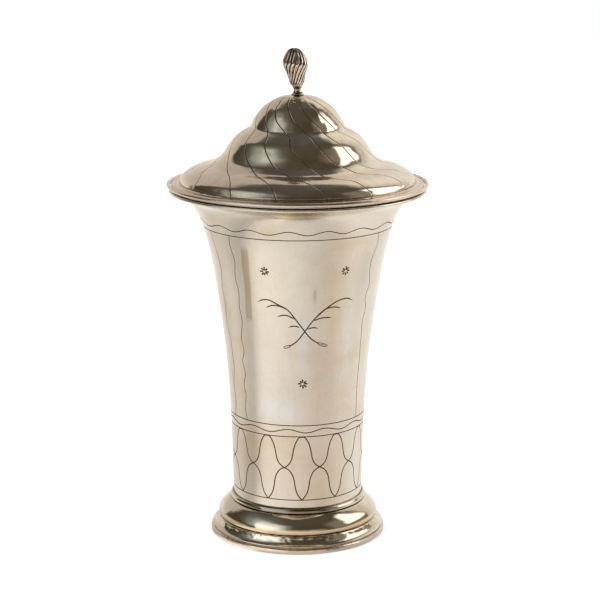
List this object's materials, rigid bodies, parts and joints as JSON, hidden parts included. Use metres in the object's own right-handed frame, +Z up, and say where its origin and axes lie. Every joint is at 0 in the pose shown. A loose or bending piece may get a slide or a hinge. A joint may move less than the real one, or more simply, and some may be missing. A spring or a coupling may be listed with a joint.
{
  "type": "lidded ciborium vessel",
  "caption": "Tall flared silver beaker on a moulded round foot, engraved all round, with a lift-off tiered spiral dome cover and a fluted bud finial.",
  "frame": {"origin": "centre of the foot's flat underside, on the vessel's axis", "axes": "+Z up along the vessel's axis, towards the finial; the engraved crossed branches face -Y; +X to the right seen from the front"},
  "size_m": [0.1482, 0.1482, 0.28],
  "materials": {
    "silver_satin": "satin",
    "silver_polished": "polished",
    "silver_edge": "worn satin",
    "gilt_interior": "satin gilt",
    "finial_silver": "polished, darkened in the flutes",
    "fastener_metal": "plain turned"
  },
  "bodies": {
    "cup": {"cup_wall": "silver_satin", "cup_lip_wire": "silver_polished", "cup_floor": "gilt_interior", "foot_fillet_ring": "silver_polished", "foot_torus": "silver_polished", "foot_base": "silver_edge", "foot_edge_wire": "silver_edge"},
    "lid": {"lid_dome": "silver_polished", "lid_flange": "silver_edge", "lid_edge_wire": "silver_edge", "lid_bezel": "gilt_interior", "finial_seat": "finial_silver", "finial_neck": "finial_silver", "finial_bud": "finial_silver", "finial_stud": "fastener_metal", "finial_washer": "fastener_metal", "finial_nut": "fastener_metal"}
  },
  "joints": [
    {"name": "lid_lift", "type": "slide", "parent": "cup", "child": "lid", "axis": [0, 0, 1], "range_m": [0, 0.12]}
  ]
}
